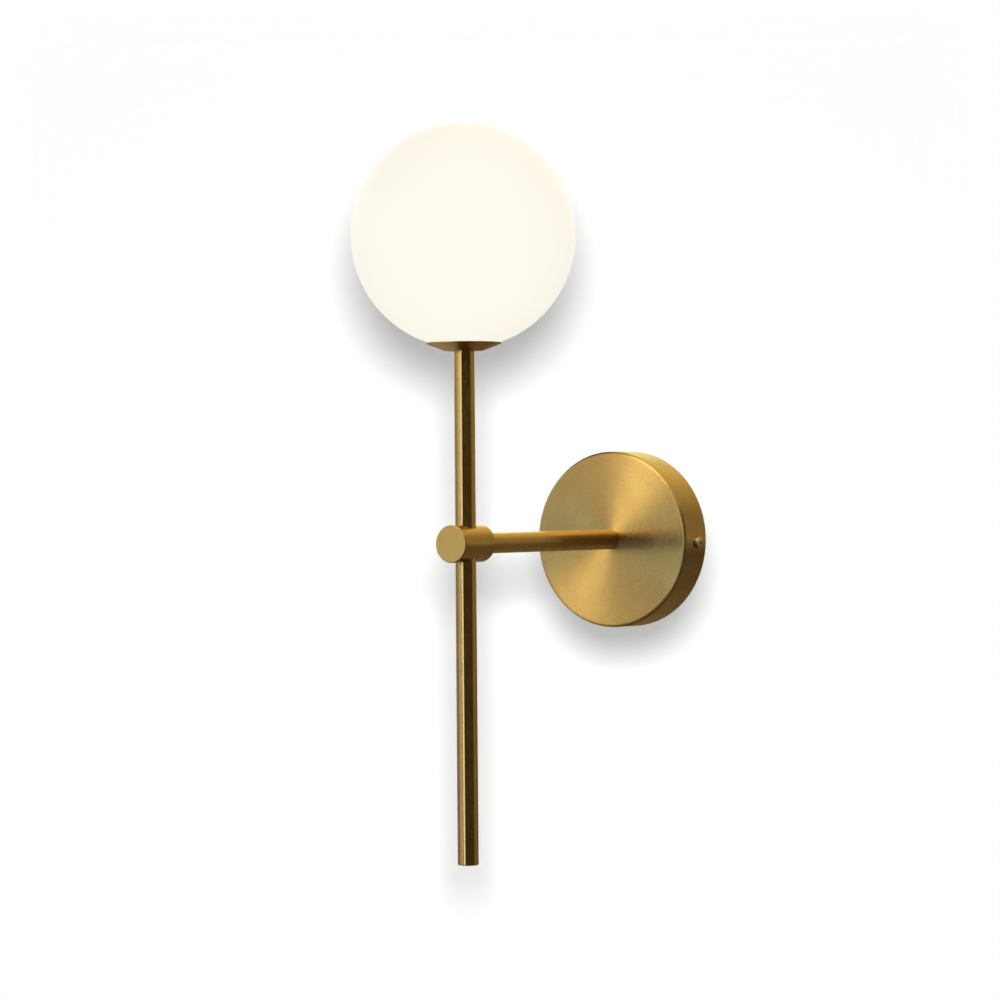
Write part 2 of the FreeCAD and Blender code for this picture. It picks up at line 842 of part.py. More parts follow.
def bulb_base():
    """A moulded block with round corners that widens into the collar round the envelope."""
    half_x, half_y = bulb_block_length / 2, bulb_block_width / 2
    body = block(-half_x, half_x, -half_y, half_y, bulb_z, collar_z)
    body = body.makeFillet(bulb_block_radius, edges_along(body, Z, lambda p: True))
    r, low, high = bulb_collar_radius, collar_z, collar_z + bulb_collar_height
    socket, bevel = envelope_radius + bond_gap, bulb_collar_bevel
    collar = turned(
        (0, low), (r - bevel, low), (r, low + bevel), (r, high), (socket, high), (socket, socket_z),
        (0, socket_z),
    )
    return on_stem(body.fuse(collar).removeSplitter())


def bulb_pins():
    """Two loops of stiff wire, each with two legs joined by a half turn at the bottom."""
    pins = []
    top, bottom = bulb_z, bulb_z - pin_length + pin_loop_radius + pin_wire_radius
    for side in (1, -1):
        x = side * pin_spacing / 2
        left, right = x - pin_loop_radius, x + pin_loop_radius
        down, low, up = vec(left, 0, bottom), vec(x, 0, bottom - pin_loop_radius), vec(right, 0, bottom)
        path = Part.Wire([
            Part.LineSegment(vec(left, 0, top), down).toShape(),
            Part.Arc(down, low, up).toShape(),
            Part.LineSegment(up, vec(right, 0, top)).toShape(),
        ])
        section = Part.Wire([Part.makeCircle(pin_wire_radius, vec(left, 0, top), Z)])
        pins.append(path.makePipeShell([section], True, False))
    return on_stem(group(pins))


def bulb_envelope():
    """A clear tube closed by a dome of the tube's own radius."""
    low = socket_z
    r, inner = envelope_radius, envelope_radius - envelope_wall
    spring = low + envelope_length - r
    return on_stem(turned(
        (r, low), (r, spring), (arc_through((0, spring), r, 45), (0, spring + r)), (0, spring + inner),
        (arc_through((0, spring), inner, 45), (inner, spring)), (inner, low),
    ))


def led_board():
    return on_stem(block(-board_width / 2, board_width / 2, -board_thickness / 2, board_thickness / 2,
                         socket_z, socket_z + board_height))


def led_chips():
    chips = []
    first = socket_z + board_height / 2 - (chip_rows - 1) * chip_pitch / 2
    for row in range(chip_rows):
        z = first + row * chip_pitch
        for column in (1, -1):
            x = column * chip_column_offset
            for face in (1, -1):
                near = face * board_thickness / 2
                far = face * (board_thickness / 2 + chip_thickness)
                chips.append(block(x - chip_width / 2, x + chip_width / 2, min(near, far), max(near, far),
                                   z - chip_height / 2, z + chip_height / 2))
    return on_stem(group(chips))


def lead(name, points, radii):
    """A round lead on straight runs joined by tangent arcs, one radius for each corner between the ends."""
    corners = [vec(*p) for p in points]
    edges = []
    here = corners[0]
    for i, radius in enumerate(radii, 1):
        back = (corners[i - 1] - corners[i]).normalize()
        ahead = (corners[i + 1] - corners[i]).normalize()
        half = back.getAngle(ahead) / 2
        start = corners[i] + back * (radius / math.tan(half))
        end = corners[i] + ahead * (radius / math.tan(half))
        inward = (back + ahead).normalize()
        middle = corners[i] + inward * (radius / math.sin(half) - radius)
        edges.append(Part.LineSegment(here, start).toShape())
        edges.append(Part.Arc(start, middle, end).toShape())
        here = end
    edges.append(Part.LineSegment(here, corners[-1]).toShape())
    path = Part.Wire(edges)
    length = sum(edge.Length for edge in edges)
    section = Part.Wire([Part.makeCircle(lead_radius, corners[0], corners[1] - corners[0])])
    tube = path.makePipeShell([section], True, False)
    ratio = tube.Volume / (math.pi * lead_radius ** 2 * length)
    print(name, "length %.1f mm" % length, "radii", [round(r, 1) for r in radii], "volume ratio %.5f" % ratio)
    return tube


def run_radius(a, b, c):
    """The largest tidy arc at corner b: a share of the shorter run over the tangent of half the turn."""
    before, after = vec(*b) - vec(*a), vec(*c) - vec(*b)
    return bend_share * min(before.Length, after.Length) / math.tan(before.getAngle(after) / 2)


def supply_lead(name, side):
    """From a pole of the block, through the arm, the boss and the upper tube, to a clip of the lampholder."""
    across = -side * lead_offset
    pin_x = -side * pin_spacing / 2
    pole_up = side * pole_pitch / 2
    in_clamp = -block_centre_left + block_length / 2 - clamp_recess - lead_in_clamp
    rise_z = rod_top_z + lead_rise_start
    points = [
        (in_clamp, -clamp_out, pole_up),
        (-lead_bend_left, -clamp_out, pole_up),
        (across, -lead_bend_out, 0),
        (across, -stem_out, 0),
        (across, -stem_out, rise_z),
        (pin_x, -stem_out, rise_z + lead_rise),
        (pin_x, -stem_out, clip_z),
    ]
    radii = [run_radius(*points[i - 1:i + 2]) for i in range(1, len(points) - 1)]
    radii[2] = lead_boss_bend
    return lead(name, points, radii)


def live_lead():
    return supply_lead("live_lead", 1)


def neutral_lead():
    return supply_lead("neutral_lead", -1)


def earth_lead():
    """From the lug on the threaded rod up and over to the lug under the earth screw."""
    _, bracket_end = lug(earth_screw_radius + hole_gap, lug_root_gap)
    _, rod_end = lug(rod_hole, nut_room())
    rod_out = nut_front + lug_thickness - lug_barrel_radius
    bracket_out = bracket_front + lug_barrel_radius
    points = [
        (0, -rod_out, rod_end - lug_socket_depth),
        (0, -rod_out, earth_loop_up),
        (earth_screw_right, -bracket_out, earth_loop_up),
        (earth_screw_right, -bracket_out, bracket_end - lug_socket_depth),
    ]
    radii = [run_radius(*points[0:3]), run_radius(*points[1:4])]
    return lead("earth_lead", points, radii)


PIECES = [
    wall_bracket, cable_grommet, terminal_block, terminal_clamps, terminal_screws, block_screw, earth_screw,
    earth_lugs, earth_lead, canopy, canopy_screws, canopy_nipple, canopy_washer, lock_washer, canopy_nut,
    arm_tube, arm_bushes, arm_nipple, cross_boss, stem_nipples, upper_tube, upper_tube_bushes, lower_tube,
    lower_tube_bush, lower_tube_plug, shade_cup, holder_nipple, holder_sleeve, holder_strap, holder_nut,
    lampholder_body, holder_screws, holder_contacts, shade_gasket, shade_insert, globe_shade, bulb_base,
    bulb_pins, bulb_envelope, led_board, led_chips, live_lead, neutral_lead,
]

for piece in PIECES:
    shape = piece()
    if not shape.isValid():
        print("not valid:", piece.__name__)
    shape.exportStep("parts/" + piece.__name__ + ".step")
    print(piece.__name__, len(shape.Solids), "solids, %.1f mm3" % shape.Volume)
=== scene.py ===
import math
import bmesh
import bpy
from mathutils import Matrix, Vector


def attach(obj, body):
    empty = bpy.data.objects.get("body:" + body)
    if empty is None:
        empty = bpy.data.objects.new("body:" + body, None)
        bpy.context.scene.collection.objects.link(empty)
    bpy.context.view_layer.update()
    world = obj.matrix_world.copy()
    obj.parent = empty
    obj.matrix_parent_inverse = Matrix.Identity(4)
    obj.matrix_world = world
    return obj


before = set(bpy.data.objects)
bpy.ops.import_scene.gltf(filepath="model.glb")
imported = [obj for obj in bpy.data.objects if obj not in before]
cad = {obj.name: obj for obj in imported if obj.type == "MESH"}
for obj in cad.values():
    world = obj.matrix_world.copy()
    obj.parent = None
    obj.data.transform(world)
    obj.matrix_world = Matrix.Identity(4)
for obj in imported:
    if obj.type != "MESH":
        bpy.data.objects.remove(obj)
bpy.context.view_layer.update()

stemOut = -0.2035                                   # the stem's axis, in metres in front of the wall
print("frame loaded:", len(cad), "pieces")


# Small helpers for node trees

def newNode(tree, kind, values=None, **settings):
    made = tree.nodes.new(kind)
    for name, value in settings.items():
        setattr(made, name, value)
    for name, value in (values or {}).items():
        made.inputs[name].default_value = value
    return made


def wire(tree, source, target):
    tree.links.new(source, target)


def sums(tree, operation, first, second=None, third=None):
    made = newNode(tree, "ShaderNodeMath", operation=operation)
    for place, value in enumerate((first, second, third)):
        if value is None:
            continue
        if isinstance(value, (int, float)):
            made.inputs[place].default_value = value
        else:
            wire(tree, value, made.inputs[place])
    return made.outputs[0]


def vectorSums(tree, operation, first, second=None):
    made = newNode(tree, "ShaderNodeVectorMath", operation=operation)
    for place, value in enumerate((first, second)):
        if value is None:
            continue
        if isinstance(value, (tuple, Vector)):
            made.inputs[place].default_value = value
        else:
            wire(tree, value, made.inputs[place])
    return made.outputs["Value" if operation in ("DOT_PRODUCT", "LENGTH") else "Vector"]


def eased(tree, value, low, high, outLow=0.0, outHigh=1.0):
    made = newNode(tree, "ShaderNodeMapRange", interpolation_type="SMOOTHSTEP")
    for name, number in (("From Min", low), ("From Max", high), ("To Min", outLow), ("To Max", outHigh)):
        made.inputs[name].default_value = number
    wire(tree, value, made.inputs["Value"])
    return made.outputs["Result"]


def blendColours(tree, share, first, second):
    made = newNode(tree, "ShaderNodeMix", data_type="RGBA")
    for socket, value in ((made.inputs[6], first), (made.inputs[7], second)):
        if isinstance(value, tuple):
            socket.default_value = (*value, 1)
        else:
            wire(tree, value, socket)
    wire(tree, share, made.inputs[0])
    return made.outputs[2]


def newGrey(tree, level):
    made = tree.nodes.new("ShaderNodeCombineXYZ")
    for place in made.inputs:
        wire(tree, level, place)
    return made.outputs[0]


def newGroup(name, inputs, outputs):
    tree = bpy.data.node_groups.new(name, "ShaderNodeTree")
    for label, kind, value in inputs:
        socket = tree.interface.new_socket(label, in_out="INPUT", socket_type=kind)
        if value is not None:
            socket.default_value = value
    for label in outputs:
        tree.interface.new_socket(label, in_out="OUTPUT", socket_type="NodeSocketFloat")
    return tree, tree.nodes.new("NodeGroupInput"), tree.nodes.new("NodeGroupOutput")


# Effects that several finishes share

turnedGrain = {"bandShare": 0.12, "grainDetail": 2.0, "bandDetail": 1.0}
mottleCloud = {"broadShare": 0.09, "fineDetail": 3.0, "broadDetail": 2.0, "roughness": 0.6}
wearStart = 3e-4                                    # metres over which the wear sets in


def makeTurnedGrain():
    # fine lines left by a brush on a piece that turns about Z, and wider bands of it
    tree, given, result = newGroup(
        "turnedGrain",
        [("Place", "NodeSocketVector", None), ("Lines", "NodeSocketFloat", 2500.0),
         ("Arc", "NodeSocketFloat", 6.0)],
        ["Grain", "Bands"],
    )
    parts = newNode(tree, "ShaderNodeSeparateXYZ")
    wire(tree, given.outputs["Place"], parts.inputs[0])
    flat = newNode(tree, "ShaderNodeCombineXYZ")
    wire(tree, parts.outputs["X"], flat.inputs["X"])
    wire(tree, parts.outputs["Y"], flat.inputs["Y"])
    radius = vectorSums(tree, "LENGTH", flat.outputs[0])
    compass = newNode(tree, "ShaderNodeSeparateXYZ")
    wire(tree, vectorSums(tree, "NORMALIZE", flat.outputs[0]), compass.inputs[0])
    for label, share, detail in (("Grain", 1.0, turnedGrain["grainDetail"]),
                                 ("Bands", turnedGrain["bandShare"], turnedGrain["bandDetail"])):
        lines = sums(tree, "MULTIPLY", given.outputs["Lines"], share)
        arc = sums(tree, "MULTIPLY", given.outputs["Arc"], math.sqrt(share))
        spread = newNode(tree, "ShaderNodeCombineXYZ")
        wire(tree, sums(tree, "MULTIPLY", radius, lines), spread.inputs["X"])
        wire(tree, sums(tree, "MULTIPLY", parts.outputs["Z"], lines), spread.inputs["Y"])
        wire(tree, sums(tree, "MULTIPLY", compass.outputs["X"], arc), spread.inputs["Z"])
        noise = newNode(tree, "ShaderNodeTexNoise", {"Scale": 1.0, "Detail": detail}, noise_dimensions="4D")
        wire(tree, spread.outputs[0], noise.inputs["Vector"])
        wire(tree, sums(tree, "MULTIPLY", compass.outputs["Y"], arc), noise.inputs["W"])
        wire(tree, noise.outputs[0], result.inputs[label])
    return tree


def makeMottle():
    # a fine and a broad cloud, for castings, plating and mouldings
    tree, given, result = newGroup(
        "mottle",
        [("Place", "NodeSocketVector", None), ("Cells", "NodeSocketFloat", 900.0)],
        ["Fine", "Broad"],
    )
    for label, share, detail in (("Fine", 1.0, mottleCloud["fineDetail"]),
                                 ("Broad", mottleCloud["broadShare"], mottleCloud["broadDetail"])):
        noise = newNode(tree, "ShaderNodeTexNoise", {"Detail": detail, "Roughness": mottleCloud["roughness"]})
        wire(tree, given.outputs["Place"], noise.inputs["Vector"])
        wire(tree, sums(tree, "MULTIPLY", given.outputs["Cells"], share), noise.inputs["Scale"])
        wire(tree, noise.outputs[0], result.inputs[label])
    return tree


def makeThreadRidges():
    # the height of a screw thread about Z
    tree, given, result = newGroup(
        "threadRidges", [("Place", "NodeSocketVector", None), ("Pitch", "NodeSocketFloat", 0.001)], ["Height"]
    )
    parts = newNode(tree, "ShaderNodeSeparateXYZ")
    wire(tree, given.outputs["Place"], parts.inputs[0])
    turn = sums(tree, "DIVIDE", sums(tree, "ARCTAN2", parts.outputs["Y"], parts.outputs["X"]), math.tau)
    along = sums(tree, "DIVIDE", parts.outputs["Z"], given.outputs["Pitch"])
    ridge = sums(tree, "PINGPONG", sums(tree, "ADD", along, turn), 0.5)
    wire(tree, sums(tree, "MULTIPLY", ridge, 2.0), result.inputs["Height"])
    return tree


def makeEdgeWear():
    # where handling has dulled the round edge between a turned face and its side
    tree, given, result = newGroup(
        "edgeWear",
        [("Place", "NodeSocketVector", None), ("Radius", "NodeSocketFloat", 0.06),
         ("Out", "NodeSocketFloat", 0.02)],
        ["Mask"],
    )
    parts = newNode(tree, "ShaderNodeSeparateXYZ")
    wire(tree, given.outputs["Place"], parts.inputs[0])
    flat = newNode(tree, "ShaderNodeCombineXYZ")
    wire(tree, parts.outputs["X"], flat.inputs["X"])
    wire(tree, parts.outputs["Y"], flat.inputs["Y"])
    past = sums(tree, "SUBTRACT", vectorSums(tree, "LENGTH", flat.outputs[0]), given.outputs["Radius"])
    ahead = sums(tree, "SUBTRACT", sums(tree, "MULTIPLY", parts.outputs["Z"], -1.0), given.outputs["Out"])
    worn = [eased(tree, distance, 0.0, wearStart) for distance in (past, ahead)]
    wire(tree, sums(tree, "MULTIPLY", *worn), result.inputs["Mask"])
    return tree


groups = {"grain": makeTurnedGrain(), "mottle": makeMottle(), "thread": makeThreadRidges(),
          "wear": makeEdgeWear()}
alongStem = {"centre": (0, stemOut, 0), "turn": (0, 0, 0), "axis": (0, 0, 1)}
alongArm = {"centre": (0, 0, 0), "turn": (-math.pi / 2, 0, 0), "axis": (0, 1, 0)}
print("shared effects ready:", len(groups))


# Finishes

def newMaterial(name, **shader):
    material = bpy.data.materials.new(name)
    material.use_nodes = True
    tree = material.node_tree
    surface = tree.nodes["Principled BSDF"]
    for label, value in shader.items():
        socket = surface.inputs[label.replace("_", " ")]
        socket.default_value = (*value, 1) if isinstance(value, tuple) else value
    place = tree.nodes.new("ShaderNodeTexCoord").outputs["Object"]
    return material, tree, surface, place


def centred(tree, place, line):
    made = newNode(tree, "ShaderNodeMapping", vector_type="TEXTURE")
    made.inputs["Location"].default_value = line["centre"]
    made.inputs["Rotation"].default_value = line["turn"]
    wire(tree, place, made.inputs["Vector"])
    return made.outputs[0]


def useGroup(tree, kind, place, **values):
    made = newNode(tree, "ShaderNodeGroup", node_tree=groups[kind])
    wire(tree, place, made.inputs["Place"])
    for name, value in values.items():
        made.inputs[name].default_value = value
    return made.outputs


def raised(tree, surface, height, depth):
    made = newNode(tree, "ShaderNodeBump", {"Strength": 1.0, "Distance": depth})
    wire(tree, height, made.inputs["Height"])
    wire(tree, made.outputs[0], surface.inputs["Normal"])


def grainAcross(tree, surface, place, line, drawn):
    # the highlight spreads across the brush lines: square to the turning, or round a piece brushed lengthwise
    offset = vectorSums(tree, "SUBTRACT", place, line["centre"])
    spoke = vectorSums(tree, "CROSS_PRODUCT", line["axis"], offset)
    if not drawn:
        normal = newNode(tree, "ShaderNodeNewGeometry").outputs["Normal"]
        spoke = vectorSums(tree, "CROSS_PRODUCT", spoke, normal)
    wire(tree, spoke, surface.inputs["Tangent"])


cloudSpan = (0.3, 0.7)                              # the values that the noises mostly take
brassFinish = {
    "colour": (0.66, 0.44, 0.150),
    "deep": (0.61, 0.385, 0.118),
    "coat": 0.35,
    "coatRoughness": 0.22,
    "cells": 700.0, "toneShare": 0.5,               # the tone is half grain and half cloud
    "bandRoughness": 0.015, "cloudRoughness": 0.01,
    "wear": 0.35,                                   # how much rougher the worn edge is, as a share
}


def brushedBrass(name, line, roughness, anisotropy, lines=2500.0, arc=6.0, depth=2e-7, edge=None,
                 drawn=False):
    material, tree, surface, place = newMaterial(
        name, Metallic=1.0, Anisotropic=anisotropy, Coat_Weight=brassFinish["coat"],
        Coat_Roughness=brassFinish["coatRoughness"],
    )
    turned = centred(tree, place, line)
    grain = useGroup(tree, "grain", turned, Lines=lines, Arc=arc)
    mottle = useGroup(tree, "mottle", place, Cells=brassFinish["cells"])
    share = brassFinish["toneShare"]
    tone = sums(tree, "ADD", sums(tree, "MULTIPLY", grain["Grain"], share),
                sums(tree, "MULTIPLY", mottle["Broad"], share))
    wire(tree, blendColours(tree, eased(tree, tone, *cloudSpan), brassFinish["deep"], brassFinish["colour"]),
         surface.inputs["Base Color"])
    band, cloud = brassFinish["bandRoughness"], brassFinish["cloudRoughness"]
    rough = sums(tree, "ADD", eased(tree, grain["Bands"], *cloudSpan, roughness - band, roughness + band),
                 eased(tree, mottle["Broad"], *cloudSpan, -cloud, cloud))
    if edge:
        wear = useGroup(tree, "wear", turned, Radius=edge[0], Out=edge[1])["Mask"]
        rough = sums(tree, "MULTIPLY", rough, sums(tree, "MULTIPLY_ADD", wear, brassFinish["wear"], 1.0))
    wire(tree, rough, surface.inputs["Roughness"])
    raised(tree, surface, grain["Grain"], depth)
    grainAcross(tree, surface, place, line, drawn)
    return material


plated = {
    "metallic": 0.65, "cells": 900.0,
    "fineShare": 0.4, "broadShare": 0.6, "toneSpan": (0.35, 0.65),
    "smoother": 0.06, "rougher": 0.08,              # how far the roughness goes either way
}
rodThread = {"roughness": 0.3, "smoother": 0.05, "flank": 0.6, "height": 0.45, "pitch": 0.001}


def plainMetal(name, colour, dark, roughness, cells=plated["cells"], depth=6e-6,
               metallic=plated["metallic"], **extra):
    material, tree, surface, place = newMaterial(name, Metallic=metallic, **extra)
    mottle = useGroup(tree, "mottle", place, Cells=cells)
    share = sums(tree, "ADD", sums(tree, "MULTIPLY", mottle["Fine"], plated["fineShare"]),
                 sums(tree, "MULTIPLY", mottle["Broad"], plated["broadShare"]))
    wire(tree, blendColours(tree, eased(tree, share, *plated["toneSpan"]), dark, colour),
         surface.inputs["Base Color"])
    wire(tree, eased(tree, mottle["Broad"], *cloudSpan, roughness - plated["smoother"],
                     roughness + plated["rougher"]), surface.inputs["Roughness"])
    raised(tree, surface, mottle["Fine"], depth)
    return material


def threadedMetal(name, colour, dark, line):
    material, tree, surface, place = newMaterial(name, Metallic=plated["metallic"])
    pitch, roughness = rodThread["pitch"], rodThread["roughness"]
    ridge = useGroup(tree, "thread", centred(tree, place, line), Pitch=pitch)["Height"]
    mottle = useGroup(tree, "mottle", place, Cells=plated["cells"])
    # the thread's roots are painted darker than its crests: painted shade in the grooves
    wire(tree, blendColours(tree, eased(tree, ridge, 0.0, rodThread["flank"]), dark, colour),
         surface.inputs["Base Color"])
    wire(tree, eased(tree, mottle["Fine"], *cloudSpan, roughness - rodThread["smoother"],
                     roughness + plated["rougher"]), surface.inputs["Roughness"])
    raised(tree, surface, ridge, pitch * rodThread["height"])
    return material


def moulding(name, colour, dark, roughness, cells=1500.0, depth=1.2e-5, **extra):
    return plainMetal(name, colour, dark, roughness, cells, depth, 0.0, **extra)


screwHead = {
    "top": 0.064883, "axis": (0, -0.0107, -0.0025),     # how far out the crown is, where its line runs
    "dome": 36.0,                                       # how the head falls off, times its radius squared
    "recess": 0.0023, "recessEdge": 2e-4, "below": (5e-5, 2e-4),
    # the colour of the grease and the painted shade in the cross
    "dark": (0.045, 0.030, 0.015),
}


def crossScrew(name, colour, dark, roughness, head):
    # the cross in the head, below its dome, is painted dark: old grease, and painted shade where no light
    # reaches into the recess
    material = plainMetal(name, colour, dark, roughness, metallic=1.0)
    tree = material.node_tree
    surface = tree.nodes["Principled BSDF"]
    bareMetal = surface.inputs["Base Color"].links[0].from_socket
    parts = newNode(tree, "ShaderNodeSeparateXYZ")
    place = tree.nodes.new("ShaderNodeTexCoord").outputs["Object"]
    place = vectorSums(tree, "SUBTRACT", place, head["axis"])
    wire(tree, place, parts.inputs[0])
    radius = vectorSums(tree, "LENGTH", vectorSums(tree, "MULTIPLY", place, (0, 1, 1)))
    depth = sums(tree, "SUBTRACT", head["top"], sums(tree, "ABSOLUTE", parts.outputs["X"]))
    fall = sums(tree, "MULTIPLY", sums(tree, "POWER", radius, 2.0), head["dome"])
    sunk = sums(tree, "SUBTRACT", depth, fall)
    inside = eased(tree, radius, head["recess"], head["recess"] + head["recessEdge"], 1.0, 0.0)
    # painted shade, with old grease, inside the recess below the dome
    greaseAndShade = sums(tree, "MULTIPLY", eased(tree, sunk, *head["below"]), inside)
    wire(tree, blendColours(tree, greaseAndShade, bareMetal, head["dark"]), surface.inputs["Base Color"])
    return material


opalGlass = {
    "colour": (0.10, 0.097, 0.09),
    "glow": (0.888, 0.848, 0.756),
    "roughness": 0.55, "rougher": 0.05,
    "givenOff": (3.0, 3.0, 2.0),                    # light for its surroundings, not what the eye sees
    "near": (0.01, 0.03),                           # metres within which its cup gets only what the eye sees
    "coat": 0.04, "coatRoughness": 0.3,
    "cells": 60.0, "deeper": 0.94, "fainter": 0.992,
}


def litOpal(name):
    material, tree, surface, place = newMaterial(
        name, Coat_Weight=opalGlass["coat"], Coat_Roughness=opalGlass["coatRoughness"])
    mottle = useGroup(tree, "mottle", place, Cells=opalGlass["cells"])
    body = tuple(opalGlass["deeper"] * part for part in opalGlass["colour"])
    wire(tree, blendColours(tree, mottle["Broad"], body, opalGlass["colour"]), surface.inputs["Base Color"])
    faint = tuple(opalGlass["fainter"] * part for part in opalGlass["glow"])
    shown = blendColours(tree, mottle["Fine"], faint, opalGlass["glow"])
    smooth = opalGlass["roughness"]
    wire(tree, eased(tree, mottle["Fine"], *cloudSpan, smooth, smooth + opalGlass["rougher"]),
         surface.inputs["Roughness"])
    paths = newNode(tree, "ShaderNodeLightPath").outputs
    close = eased(tree, paths["Ray Length"], *opalGlass["near"], 1.0, 0.0)
    seen = sums(tree, "MAXIMUM", paths["Is Camera Ray"], close)
    wire(tree, blendColours(tree, seen, opalGlass["givenOff"], shown), surface.inputs["Emission Color"])
    surface.inputs["Emission Strength"].default_value = 1.0
    return material


zinc = ((0.66, 0.67, 0.68), (0.54, 0.55, 0.57))
finishes = {
    "canopy": brushedBrass("spunBrass", alongArm, roughness=0.27, anisotropy=0.9, lines=1900.0, arc=5.0,
                           depth=1e-7, edge=(0.0603, 0.0253)),
    "arm_tube": brushedBrass("armBrass", alongArm, roughness=0.30, anisotropy=0.8, drawn=True),
    "cross_boss": brushedBrass("bossBrass", alongArm, roughness=0.30, anisotropy=0.0, edge=(0.0115, 0.2197)),
    "upper_tube": brushedBrass("stemBrass", alongStem, roughness=0.19, anisotropy=0.97),
    "shade_cup": brushedBrass("cupBrass", alongStem, roughness=0.36, anisotropy=0.8, lines=3200.0),
    "canopy_screws": crossScrew("screwBrass", (0.86, 0.76, 0.56), (0.70, 0.61, 0.43), 0.25, screwHead),
    "globe_shade": litOpal("litOpalGlass"),
    "wall_bracket": plainMetal("zincPlate", *zinc, 0.36, 260.0, 8e-6),
    "cable_grommet": moulding("grommetRubber", (0.030, 0.030, 0.031), (0.018, 0.018, 0.018), 0.6),
    "terminal_block": moulding("blockNylon", (0.80, 0.80, 0.77), (0.72, 0.72, 0.69), 0.42),
    "terminal_clamps": plainMetal("clampBrass", (0.78, 0.60, 0.30), (0.66, 0.48, 0.22), 0.28),
    "terminal_screws": plainMetal("screwZinc", (0.68, 0.68, 0.66), (0.55, 0.55, 0.55), 0.25),
    "earth_screw": plainMetal("earthBrass", (0.78, 0.60, 0.30), (0.66, 0.48, 0.22), 0.26),
    "earth_lugs": plainMetal("tinnedCopper", (0.74, 0.74, 0.73), (0.62, 0.62, 0.62), 0.3),
    "canopy_washer": plainMetal("washerZinc", *zinc, 0.3, 500.0),
    "canopy_nut": plainMetal("nutZinc", (0.66, 0.63, 0.52), (0.52, 0.49, 0.40), 0.27, 500.0),
    "canopy_nipple": threadedMetal("armRodThread", *zinc, alongArm),
    "holder_nipple": threadedMetal("stemRodThread", *zinc, alongStem),
    "holder_sleeve": plainMetal("sleeveZinc", *zinc, 0.3, 400.0, 4e-6),
    "shade_insert": plainMetal("ringZinc", *zinc, 0.3, 400.0),
    "holder_strap": plainMetal("strapZinc", *zinc, 0.32, 400.0),
    "lampholder_body": moulding("whiteCeramic", (0.78, 0.77, 0.72), (0.70, 0.69, 0.63), 0.5, 1800.0, 2e-5),
    "shade_gasket": moulding("clearSilicone", (0.74, 0.74, 0.72), (0.66, 0.66, 0.64), 0.38,
                             Subsurface_Weight=0.2),
    "bulb_base": moulding("bulbNylon", (0.82, 0.82, 0.80), (0.76, 0.76, 0.74), 0.3),
    "led_board": moulding("boardWhite", (0.80, 0.81, 0.79), (0.72, 0.73, 0.71), 0.35),
    "led_chips": moulding("phosphor", (0.85, 0.62, 0.16), (0.78, 0.55, 0.12), 0.5,
                          Emission_Color=(1.0, 0.78, 0.42), Emission_Strength=1.0),
    "live_lead": moulding("brownSleeve", (0.115, 0.045, 0.022), (0.085, 0.032, 0.016), 0.4),
    "neutral_lead": moulding("blueSleeve", (0.035, 0.105, 0.33), (0.026, 0.08, 0.26), 0.4),
    "earth_lead": moulding("greenSleeve", (0.10, 0.30, 0.06), (0.075, 0.24, 0.045), 0.4),
    "bulb_envelope": moulding("clearCapsule", (0.97, 0.98, 0.98), (0.94, 0.95, 0.95), 0.05, 900.0, 1e-6,
                              Transmission_Weight=1.0, IOR=1.5),
}
sameFinish = {
    "lower_tube": "upper_tube", "lower_tube_plug": "upper_tube", "block_screw": "terminal_screws",
    "lock_washer": "canopy_washer", "arm_bushes": "canopy_washer", "arm_nipple": "canopy_nipple",
    "stem_nipples": "holder_nipple", "upper_tube_bushes": "canopy_washer",
    "lower_tube_bush": "canopy_washer",
    "holder_nut": "canopy_nut", "holder_screws": "terminal_screws", "holder_contacts": "earth_lugs",
    "bulb_pins": "earth_lugs",
}
for name, piece in cad.items():
    material = finishes[sameFinish.get(name, name)]
    piece.data.materials.clear()
    piece.data.materials.append(material)
print("finishes given to", len(cad), "pieces")


# The thread on the lampholder's sleeve, on which the shade screws

sleeveThread = {"radius": 0.0125, "height": 0.0002, "sunk": 0.0001, "pitch": 0.002, "crest": 0.0003,
                "low": 0.1336, "turns": 8, "steps": 48}


def makeSleeveThread(size):
    shape = bmesh.new()
    root, crest = size["radius"] - size["sunk"], size["radius"] + size["height"]
    low, pitch = size["low"], size["pitch"]
    flank = (pitch - size["crest"]) / 2
    corners = [shape.verts.new((radius, stemOut, height)) for radius, height in (
        (root, low), (crest, low + flank), (crest, low + flank + size["crest"]), (root, low + pitch))]
    edges = [shape.edges.new((corners[at - 1], corners[at])) for at in range(4)]
    bmesh.ops.spin(shape, geom=corners + edges, cent=(0, stemOut, 0), axis=(0, 0, 1),
                   dvec=(0, 0, pitch / size["steps"]), angle=math.tau * size["turns"],
                   steps=size["steps"] * size["turns"], use_merge=False)
    bmesh.ops.holes_fill(shape, edges=[edge for edge in shape.edges if edge.is_boundary], sides=4)
    bmesh.ops.recalc_face_normals(shape, faces=shape.faces)
    mesh = bpy.data.meshes.new("sleeveThread")
    shape.to_mesh(mesh)
    shape.free()
    mesh.materials.append(finishes["holder_sleeve"])
    thread = bpy.data.objects.new("sleeveThread", mesh)
    bpy.context.scene.collection.objects.link(thread)
    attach(thread, "root")
    return thread


thread = makeSleeveThread(sleeveThread)
print("sleeve thread made:", len(thread.data.polygons), "faces")


# Camera, worked out from the outlines in the photograph

cameraFit = {"away": 2.201, "around": 35.22, "above": 0.15, "roll": -0.46, "lens": 118.57, "aside": 0.02113,
             "lookOut": -0.2, "lookUp": 0.02903, "sensor": 36.0, "clip": (0.05, 50.0)}


def lookDirections(fit):
    around, above, roll = (math.radians(fit[key]) for key in ("around", "above", "roll"))
    right = Vector((math.cos(around), math.sin(around), 0))
    back = Vector((math.sin(around) * math.cos(above), -math.cos(around) * math.cos(above), math.sin(above)))
    up = back.cross(right)
    rolledRight = math.cos(roll) * right + math.sin(roll) * up
    rolledUp = math.cos(roll) * up - math.sin(roll) * right
    return right, back, rolledRight, rolledUp


